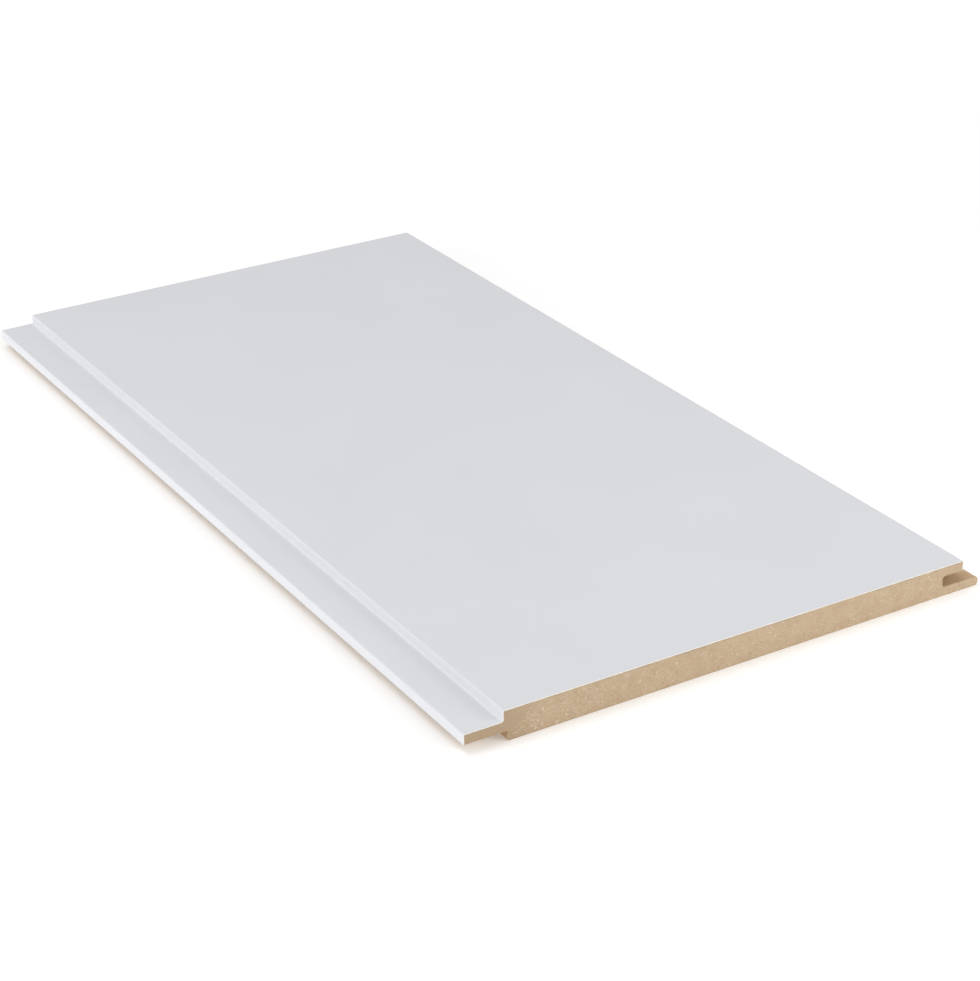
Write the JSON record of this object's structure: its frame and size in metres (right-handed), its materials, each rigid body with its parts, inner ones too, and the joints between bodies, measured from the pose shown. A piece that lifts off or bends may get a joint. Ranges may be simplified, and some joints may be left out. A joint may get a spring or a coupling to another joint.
{
  "type": "tongue and groove mdf wall panel",
  "caption": "Flat MDF wall panel with a white foil wrapped over its face, a tongue along one long edge and a groove with a longer lower lip along the other.",
  "frame": {"origin": "on the underside, below the middle of the panel's overall width and length", "axes": "+X across the panel from the tongue to the groove, +Y along its length, +Z out of the white face"},
  "size_m": [0.2176, 0.411, 0.012],
  "materials": {
    "mdf": "matte",
    "white_foil": "satin"
  },
  "bodies": {
    "root": {"mdf_core": "mdf", "face_foil": "white_foil"}
  },
  "joints": []
}
